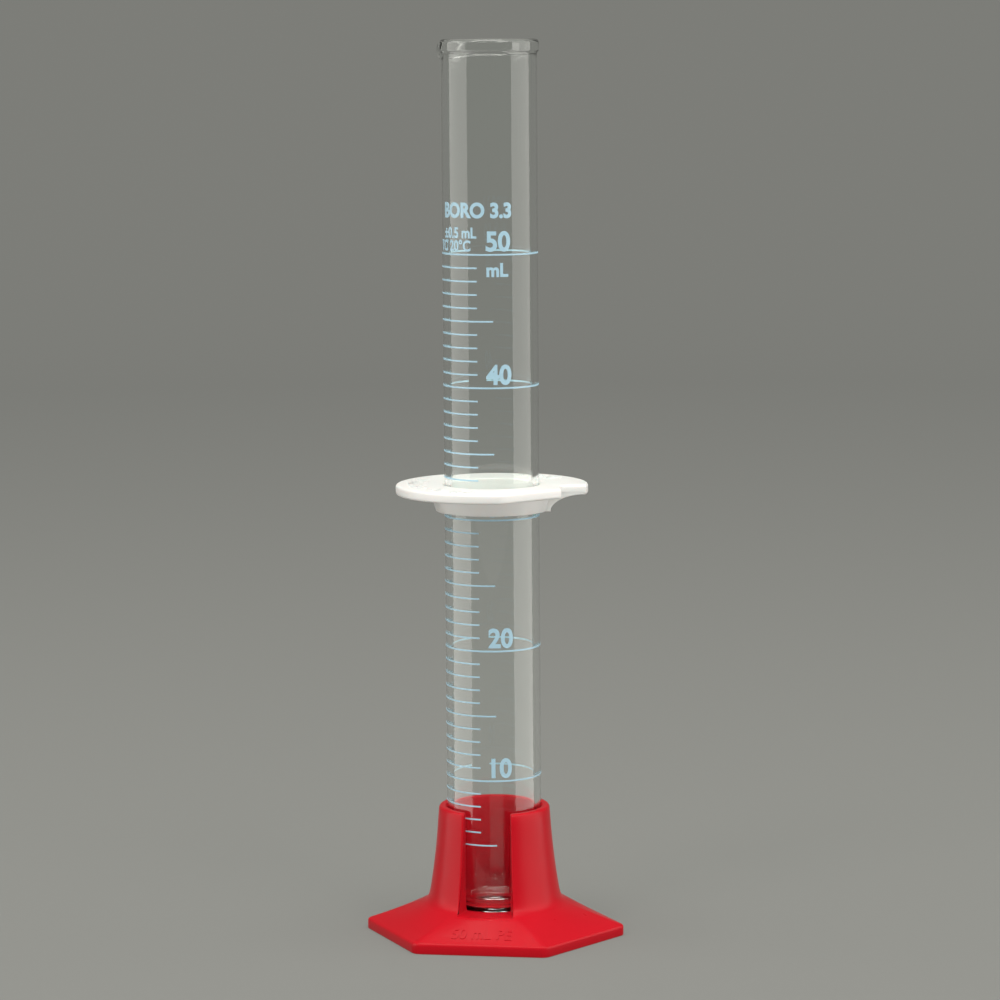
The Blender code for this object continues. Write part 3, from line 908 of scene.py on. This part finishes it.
def build_ring(white):
    """The bumper ring with its web and raised lettering."""
    raised_ring_lettering(white)
    bm = ring_shell()
    join_bmesh(bm, gusset_web())
    bmesh.ops.transform(bm, matrix=Matrix.Rotation(RING_TURN, 4, 'Z'), verts=bm.verts)
    ring = make_piece("bumper", bm, white, "bumper", sharp_angle=40.0)
    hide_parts("bumper_ring")


# ---------------------------------------------------------------- printed scale

def wrapped_bar(bm, start, end, height, width):
    """A thin raised line on the tube, from one facing angle to another."""
    steps = max(2, math.ceil((end - start) / LINE_STEP))
    low = TUBE_RADIUS + INK_BASE
    high = low + INK_RELIEF
    corners = ((low, -0.5), (high, -LINE_CROWN_SHARE), (high, LINE_CROWN_SHARE), (low, 0.5))
    rings = []
    for step in range(steps + 1):
        angle = FACING_AZIMUTH + start + (end - start) * step / steps
        rings.append([bm.verts.new(around(radius, angle, height + share * width))
                      for radius, share in corners])
    skin_rings(bm, rings, closed=False)
    bm.faces.new(rings[0])
    bm.faces.new(list(reversed(rings[-1])))


def wrap_text(bm, text, angle, height, cap_height, squeeze, weight, align="centre"):
    """Bend lettering round the tube at a facing angle, with its baseline at a height."""
    letters = glyph_bmesh(text, cap_height, squeeze, weight, INK_RELIEF)
    slice_across(letters, INK_STRIP)
    shift = max(vert.co.x for vert in letters.verts) if align == "right" else middle_x(letters)
    middle = TUBE_RADIUS + INK_BASE + INK_RELIEF / 2
    for vert in letters.verts:
        turn = FACING_AZIMUTH + angle + (vert.co.x - shift) / TUBE_RADIUS
        vert.co = around(middle + vert.co.z, turn, height + vert.co.y)
    join_bmesh(bm, letters)


def level_z(millilitres):
    """Height of a level in the bore."""
    return TEN_ML_RING_Z + (millilitres - 10) * MILLILITRE_HEIGHT


def build_rings(ink):
    """A line round the tube every 10 mL, open at the back."""
    bm = bmesh.new()
    for level in range(RING_STEP_ML, CAPACITY_ML + 1, RING_STEP_ML):
        start = RING_GAP_START + RING_GAP_WIDTH / 2 - math.tau
        wrapped_bar(bm, start, start + math.tau - RING_GAP_WIDTH, level_z(level), LINE_WIDTH)
    make_piece("scale_rings", bm, ink, "tube")


def build_ticks(ink):
    """A short line for each millilitre between the rings, longer every 5 mL."""
    bm = bmesh.new()
    for level in range(FIRST_TICK_ML, CAPACITY_ML):
        if level % RING_STEP_ML == 0:
            continue
        end = LONG_TICK_END if level % LONG_TICK_STEP_ML == 0 else TICK_END
        wrapped_bar(bm, TICK_START, end, level_z(level), TICK_WIDTH)
    make_piece("scale_ticks", bm, ink, "tube")


def build_numerals(ink):
    """A number above each ring, and the unit under the top one."""
    bm = bmesh.new()
    for level in range(RING_STEP_ML, CAPACITY_ML + 1, RING_STEP_ML):
        wrap_text(bm, str(level), NUMERAL_ANGLE, level_z(level) + NUMERAL_LIFT, NUMERAL_HEIGHT,
                  NUMERAL_SQUEEZE, NUMERAL_WEIGHT)
    wrap_text(bm, "mL", UNIT_ANGLE, level_z(CAPACITY_ML) - UNIT_DROP, UNIT_HEIGHT,
              UNIT_SQUEEZE, UNIT_WEIGHT)
    make_piece("scale_numerals", bm, ink, "tube")


def build_marks(ink):
    """Generic marks above the scale: the kind of glass, the tolerance and the temperature."""
    bm = bmesh.new()
    top = level_z(CAPACITY_ML)
    for text, right_edge, lift, cap_height, squeeze, weight in GLASS_MARKS:
        wrap_text(bm, text, math.radians(right_edge), top + lift * MM, cap_height * MM, squeeze,
                  weight * MM, align="right")
    make_piece("glass_marks", bm, ink, "tube")


# ---------------------------------------------------------------- stage, light and camera

def studio_material(name, colour, roughness, glow_colour, glow):
    """A matt surface that may also glow."""
    material, nodes, _ = new_material(name)
    shader = nodes["Principled BSDF"]
    shader.inputs["Base Color"].default_value = (*colour, 1.0)
    shader.inputs["Roughness"].default_value = roughness
    shader.inputs["Specular IOR Level"].default_value = 0.0
    shader.inputs["Emission Color"].default_value = (*glow_colour, 1.0)
    shader.inputs["Emission Strength"].default_value = glow
    return material


def stage_bowl():
    """A round floor that sweeps up into a backdrop on every side."""
    floor_radius = 1.5
    sweep = 0.7
    wall_height = 2.6
    profile = [(0.0, 0.0), (0.3, 0.0), (0.8, 0.0)]
    profile += arc(floor_radius, sweep, sweep, -90, 0, 24)
    profile.append((floor_radius + sweep, wall_height))
    bm = spin_profile(profile, 96)
    bmesh.ops.recalc_face_normals(bm, faces=bm.faces)
    mesh = new_mesh("stage_bowl", bm)
    mesh.shade_smooth()
    mesh.materials.append(studio_material("stage_grey", STAGE_GREY, 0.95, STAGE_GLOW, 1.0))
    bowl = add_object("stage_bowl", mesh)


def make_card(name, bm, colour, glow):
    """A studio card that only mirror reflections see."""
    mesh = new_mesh(name, bm)
    mesh.materials.append(studio_material(name, colour, 1.0, WARM_WHITE, glow))
    card = add_object(name, mesh)
    card.visible_camera = False
    card.visible_shadow = False
    card.visible_diffuse = False
    card.visible_transmission = False


def floor_card(name, start, end, near, far, colour, glow, straight=False):
    """A card lying on the floor out of the picture, between two azimuths from the camera's side."""
    bm = bmesh.new()
    rings = []
    for radius in (near, far):
        ring = []
        for step in range(CARD_STEPS + 1):
            turn = math.radians(start + (end - start) * step / CARD_STEPS)
            reach = radius / math.cos(turn) if straight else radius
            ring.append(bm.verts.new(around(reach, FACING_AZIMUTH + turn, CARD_LIFT)))
        rings.append(ring)
    for index in range(CARD_STEPS):
        bm.faces.new((rings[0][index], rings[1][index], rings[1][index + 1], rings[0][index + 1]))
    make_card(name, bm, colour, glow)


def wall_card(name, azimuth, distance, width, tall):
    """A glowing card standing on the floor, facing the tube."""
    bm = bmesh.new()
    angle = FACING_AZIMUTH + math.radians(azimuth)
    middle = Vector(around(distance, angle, 0.0))
    across = Vector((-math.sin(angle), math.cos(angle), 0.0)) * width / 2
    corners = (middle - across, middle + across)
    low = [bm.verts.new(corner) for corner in corners]
    high = [bm.verts.new(corner + Vector((0.0, 0.0, tall))) for corner in corners]
    bm.faces.new((low[0], low[1], high[1], high[0]))
    make_card(name, bm, CARD_GREY, CARD_GLOW)


def softbox(name, azimuth, distance, height, width, tall, power, aim_z, mirrored=True, spread=180.0):
    """A rectangular light aimed at the tube. Azimuth is from the camera's side, positive right."""
    data = bpy.data.lights.new(name, 'AREA')
    data.shape = 'RECTANGLE'
    data.size = width
    data.size_y = tall
    data.energy = power
    data.spread = math.radians(spread)
    data.color = WARM_WHITE
    lamp = add_object(name, data)
    lamp.location = around(distance, FACING_AZIMUTH + math.radians(azimuth), height)
    aim = Vector((0, 0, aim_z)) - lamp.location
    lamp.rotation_euler = aim.to_track_quat('-Z', 'Y').to_euler()
    lamp.visible_camera = False
    lamp.visible_glossy = mirrored
    lamp.visible_transmission = mirrored


def build_lights():
    """Large side softboxes, a top softbox, two front ones, a low fill and a dim even world."""
    for name, azimuth in (("right_softbox", 82.0), ("left_softbox", -83.0)):
        softbox(name, azimuth, distance=0.75, height=0.30, width=0.80, tall=1.3, power=3.8, aim_z=0.20,
                mirrored=False)
    softbox("top_softbox", 0.0, distance=0.25, height=1.5, width=1.0, tall=1.0, power=14.0, aim_z=0.0)
    for name, azimuth, width in (("front_left_softbox", -40.0, 0.30), ("front_right_softbox", 38.0, 0.40)):
        softbox(name, azimuth, distance=0.8, height=0.85, width=width, tall=0.40, power=3.1, aim_z=0.15)
    softbox("low_fill", 12.0, distance=0.9, height=0.10, width=0.50, tall=0.10, power=0.30, aim_z=0.09,
            mirrored=False, spread=60.0)
    world = bpy.data.worlds.new("studio")
    world.use_nodes = True
    background = world.node_tree.nodes["Background"]
    background.inputs["Color"].default_value = (1.0, 1.0, 0.98, 1.0)
    background.inputs["Strength"].default_value = 0.35
    bpy.context.scene.world = world
    bpy.context.scene.view_settings.view_transform = 'Standard'


def build_cards():
    """Cards for the stripes in the glass: glowing ones at the sides, a dark one in front."""
    floor_card("right_card", 52.0, 111.0, near=0.14, far=0.80, colour=CARD_GREY, glow=CARD_GLOW)
    floor_card("left_card", -111.0, -53.0, near=0.14, far=0.80, colour=CARD_GREY, glow=CARD_GLOW)
    wall_card("right_wall_card", 82.0, distance=0.78, width=0.83, tall=0.95)
    wall_card("left_wall_card", -83.0, distance=0.78, width=0.83, tall=0.95)
    floor_card("front_card", -48.0, 47.0, near=0.070, far=0.60, colour=CARD_BLACK, glow=0.0, straight=True)


def build_camera():
    """A camera that faces the scale from a little above, turned slightly about its own axis."""
    data = bpy.data.cameras.new("camera")
    data.lens = FOCAL_LENGTH
    data.sensor_width = SENSOR_WIDTH
    camera = add_object("camera", data)
    turn = FACING_AZIMUTH + math.pi / 2
    level = Matrix.Rotation(turn, 3, 'Z')
    forward = level @ Vector((math.sin(CAMERA_YAW) * math.cos(CAMERA_PITCH),
                              math.cos(CAMERA_YAW) * math.cos(CAMERA_PITCH), -math.sin(CAMERA_PITCH)))
    right = level @ Vector((math.cos(CAMERA_YAW), -math.sin(CAMERA_YAW), 0.0))
    up = right.cross(forward)
    tilted_right = right * math.cos(CAMERA_ROLL) + up * math.sin(CAMERA_ROLL)
    tilted_up = up * math.cos(CAMERA_ROLL) - right * math.sin(CAMERA_ROLL)
    place = level @ Vector((0.0, -CAMERA_DISTANCE, TEN_ML_RING_Z + CAMERA_ABOVE_TEN_ML))
    matrix = Matrix((tilted_right, tilted_up, -forward)).transposed().to_4x4()
    matrix.translation = place
    camera.matrix_world = matrix
    bpy.context.scene.camera = camera


# ---------------------------------------------------------------- assembly

build_camera()
build_lights()
stage_bowl()
build_cards()
glass_material = clear_glass()
ink_material = enamel_ink()
red_material = moulded_plastic("red_plastic", dark=(0.45, 0.004, 0.011), light=(0.51, 0.0055, 0.015),
                               gloss_low=0.24, gloss_high=0.36, subsurface=0.02, grain=0.15, specular=0.12)
white_material = moulded_plastic("white_plastic", dark=(0.75, 0.745, 0.74), light=(0.79, 0.785, 0.78),
                                 gloss_low=0.38, gloss_high=0.52, subsurface=0.2, grain=0.12, specular=0.4)
build_tube(glass_material)
build_foot(red_material)
build_ring(white_material)
build_rings(ink_material)
build_ticks(ink_material)
build_numerals(ink_material)
build_marks(ink_material)
